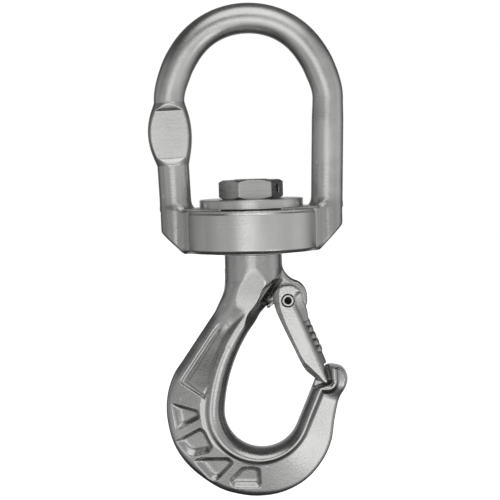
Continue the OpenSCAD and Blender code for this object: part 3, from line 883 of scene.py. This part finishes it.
def nut_field():
    low, high = node_box("hex_nut")
    flats, mouth, turn = 12.0, 9.0, math.radians(NUT_TURN)

    def field(x, y, z):
        body = np.full(np.broadcast(x, y, z).shape, -99.0)
        for k in range(3):
            a = turn + math.radians(60 * k)
            body = smooth_max(body, np.abs(x * math.cos(a) + y * math.sin(a)) - flats, 0.3)
        body = smooth_max(body, np.maximum(z - high[2], low[2] - z), 0.3)
        radial = np.sqrt(x * x + y * y)
        cone = (radial - flats - 0.1 + 1.75 * np.maximum(z - high[2], low[2] - z)) * 0.5
        body = smooth_max(body, cone, 0.15)
        body = smooth_max(body, THREAD_R + 0.02 - radial, 0.2)
        body = smooth_max(body, -(radial - mouth + (high[2] - z)) * 0.7, 0.15)
        return smooth_max(body, cross_hole(x, y, z), 0.15)

    return field


def build_nut():
    low, high = node_box("hex_nut")
    piece = add_skin("turned_nut", nut_field(), low, high, 0.27, MATERIALS["turned_steel"])
    join_body(piece, "hook", "turned_steel", "hex_nut")


def tube(path, radius):
    """A round wire swept along a path, closed with domed ends."""
    sides = 14
    p = np.array(path, float)
    ends = [p[0] - p[1], p[-1] - p[-2]]
    start, end = [e / np.linalg.norm(e) * radius for e in ends]
    scale = np.concatenate([[0.02, 0.6], np.ones(len(p)), [0.6, 0.02]])
    p = np.vstack([p[0] + start * 0.6, p[0] + start * 0.45, p, p[-1] + end * 0.45, p[-1] + end * 0.6])
    tangent = np.gradient(p, axis=0)
    tangent /= np.linalg.norm(tangent, axis=1)[:, None]
    up = np.cross(tangent[0], [0.3, 0.5, 0.8])
    a = np.linspace(0, 2 * math.pi, sides, endpoint=False)
    points = []
    for i in range(len(p)):
        up = up - tangent[i] * (up @ tangent[i])
        up /= np.linalg.norm(up)
        across = np.cross(tangent[i], up)
        ring = np.cos(a)[:, None] * up + np.sin(a)[:, None] * across
        points.append(p[i] + radius * scale[i] * ring)
    points = np.vstack(points)
    faces = []
    for i in range(len(p) - 1):
        a, b = i * sides, (i + 1) * sides
        faces += [(a + k, a + (k + 1) % sides, b + (k + 1) % sides, b + k) for k in range(sides)]
    faces.append(tuple(range(sides))[::-1])
    faces.append(tuple(range((len(p) - 1) * sides, len(p) * sides)))
    return points, faces


def spring_path():
    """Half of the torsion spring: free arm, coil, lead and half of the bridge, on the +Y side."""
    wire, coil_r, inner_y, outer_y = 1.3, 3.45, 3.35, 5.35
    bridge = np.array([5.98, -31.64])
    arm_end = (23.9, -49)
    arm_angle, lead_angle = -60.0, 130.0
    turns = 2
    path = [(arm_end[0], outer_y - 0.3, arm_end[1])]
    start = direction(arm_angle) * coil_r
    for t in (0.25, 0.5, 0.75):
        path.append((arm_end[0] + t * (LATCH[0] + start[0] - arm_end[0]), outer_y - 0.3 * (1 - t),
                     arm_end[1] + t * (LATCH[2] + start[1] - arm_end[1])))
    sweep = lead_angle - arm_angle - 360 * turns
    for t in np.linspace(0, 1, 50):
        d = direction(arm_angle + sweep * t) * coil_r
        path.append((LATCH[0] + d[0], outer_y + (inner_y - outer_y) * t, LATCH[2] + d[1]))
    d = direction(lead_angle) * coil_r
    lead = np.array([LATCH[0] + d[0], LATCH[2] + d[1]])
    for t in (0.3, 0.6, 0.85):
        at = lead + (bridge - lead) * t
        path.append((at[0], inner_y + 0.9 * t, at[1]))
    path += [(bridge[0] + 0.1, inner_y + 0.6, bridge[1] + 0.05),
             (bridge[0], inner_y, bridge[1]), (bridge[0], 0, bridge[1])]
    return np.array(path), wire / 2


def build_spring():
    half, radius = spring_path()
    other = half[::-1] * [1, -1, 1]
    points, faces = tube(np.vstack([half, other[1:]]), radius)
    piece = add_mesh("spring_wire", points, faces, None, MATERIALS["spring_wire"])
    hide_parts("latch_spring")
    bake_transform(piece)


def build_latch_pin():
    """A solid pin along Y with a countersunk blind hole in each end."""
    low, high = node_box("latch_pin")
    half, pin_r, hole_r, deep = high[1], 2.45, 1.45, 3.0
    profile = [(0, -half + deep + 0.2), (hole_r - 0.15, -half + deep), (hole_r, -half), (pin_r, -half),
               (pin_r, half), (hole_r, half), (hole_r - 0.15, half - deep), (0, half - deep - 0.2)]
    piece = lathe("latch_pin_steel", profile, MATERIALS["pin_steel"], 64, 0.35)
    # painted shade: the faces inside the blind holes take the near-black material
    piece.data.materials.append(MATERIALS["pin_bore_shade"])
    for face in piece.data.polygons:
        around = [piece.data.vertices[v].co for v in face.vertices]
        if all(math.hypot(v.x, v.y) < (hole_r + 0.02) * MM for v in around):
            face.material_index = 1
    to_pin = Matrix.Translation(place(LATCH)) @ Matrix.Rotation(math.pi / 2, 4, "X")
    piece.data.transform(to_pin @ Matrix.Translation(-Vector(place([0, 0, 0]))))
    join_body(piece, "hook", "pin_steel", "latch_pin")


def build_all():
    build_hook()
    build_bow()
    build_latch()
    build_washer()
    build_nut()
    build_latch_pin()
    build_spring()


build_all()

# ---------------------------------------------------------------- floor and light


def add_floor():
    """A pale plain floor well below the hook."""
    mesh = bpy.data.meshes.new("floor")
    half, z = 6.0, float(place([0, 0, -330])[2])
    corners = [(-half, -half, z), (half, -half, z), (half, half, z), (-half, half, z)]
    mesh.from_pydata(corners, [], [(0, 1, 2, 3)])
    floor = bpy.data.objects.new("floor", mesh)
    bpy.context.scene.collection.objects.link(floor)
    n = Nodes("floor")
    cloud = n.noise(6, 3)
    n.shader.inputs["Emission Color"].default_value = (1, 1, 1, 1)
    n.shader.inputs["Emission Strength"].default_value = 0.9
    color = n.mix(n.spread(cloud, 0, 1), (0.86, 0.86, 0.86), (0.9, 0.9, 0.9))
    n.finish(color, n.spread(cloud, 0.7, 0.8), n.bump(n.noise(300, 2), 0.0002, 0.3), 0.0)
    mesh.materials.append(n.material)
    floor.visible_glossy = False
    floor.visible_diffuse = False


# azimuth (0 towards the camera, + to the hook's tip) and elevation the light comes from,
# the angles from there where it starts and stops fading, and its strength
ROOM = [
    (-8, -6, 4, 24, 0.9),
    (0, 0, 20, 95, 0.11),
    (58, -4, 18, 70, 0.5),
    (-44, -16, 10, 40, 0.42),
    (-84, -4, 10, 45, 0.2),
    (100, 4, 10, 36, 0.24),
    (-104, 4, 10, 34, 0.2),
    (0, 56, 18, 38, 1.3),
    (180, 50, 15, 60, 0.07),
    (180, -6, 12, 40, 0.55),
    (0, -27, 8, 32, 0.6),
]
ROOM_BASE = 0.045


def add_world():
    """A pale studio: the camera sees white, and the metal reflects soft boxes in a dim room."""
    world = bpy.data.worlds.new("studio")
    bpy.context.scene.world = world
    world.use_nodes = True
    tree = world.node_tree
    tree.nodes.clear()

    def add(kind, **settings):
        node = tree.nodes.new(kind)
        for key, value in settings.items():
            setattr(node, key, value)
        return node

    aim = add("ShaderNodeTexCoord").outputs["Generated"]
    total = None
    for azimuth, elevation, start, end, level in ROOM:
        a, e = math.radians(azimuth), math.radians(elevation)
        toward = (math.sin(a) * math.cos(e), -math.cos(a) * math.cos(e), math.sin(e))
        dot = add("ShaderNodeVectorMath", operation="DOT_PRODUCT")
        tree.links.new(aim, dot.inputs[0])
        dot.inputs[1].default_value = toward
        lobe = add("ShaderNodeMapRange", interpolation_type="SMOOTHSTEP")
        tree.links.new(dot.outputs["Value"], lobe.inputs["Value"])
        lobe.inputs["From Min"].default_value = math.cos(math.radians(end))
        lobe.inputs["From Max"].default_value = math.cos(math.radians(start))
        lobe.inputs["To Max"].default_value = level
        if total is None:
            total = lobe.outputs["Result"]
        else:
            both = add("ShaderNodeMath", operation="ADD")
            tree.links.new(total, both.inputs[0])
            tree.links.new(lobe.outputs["Result"], both.inputs[1])
            total = both.outputs[0]
    room = add("ShaderNodeMath", operation="ADD")
    tree.links.new(total, room.inputs[0])
    room.inputs[1].default_value = ROOM_BASE
    seen = add("ShaderNodeBackground")
    seen.inputs["Strength"].default_value = 1.02
    seen.inputs["Color"].default_value = (1, 1, 1, 1)
    lit = add("ShaderNodeBackground")
    tree.links.new(room.outputs[0], lit.inputs["Color"])
    path = add("ShaderNodeLightPath")
    pick = add("ShaderNodeMixShader")
    tree.links.new(path.outputs["Is Camera Ray"], pick.inputs[0])
    tree.links.new(lit.outputs[0], pick.inputs[1])
    tree.links.new(seen.outputs[0], pick.inputs[2])
    tree.links.new(pick.outputs[0], add("ShaderNodeOutputWorld").inputs["Surface"])


def add_lamp(name, at, size, power):
    """A soft rectangular lamp that points at the housing."""
    data = bpy.data.lights.new(name, "AREA")
    data.shape = "RECTANGLE"
    data.size, data.size_y = size
    data.energy = power
    lamp = bpy.data.objects.new(name, data)
    bpy.context.scene.collection.objects.link(lamp)
    start, end = Vector(at), Vector(place([0, 0, -10]))
    aim = (end - start).to_track_quat("-Z", "Y").to_matrix().to_4x4()
    lamp.matrix_world = Matrix.Translation(start) @ aim


add_floor()
add_world()
add_lamp("side_light", place([190, -270, -190]), (0.16, 0.2), 0.11)
bpy.context.scene.view_settings.view_transform = "Standard"
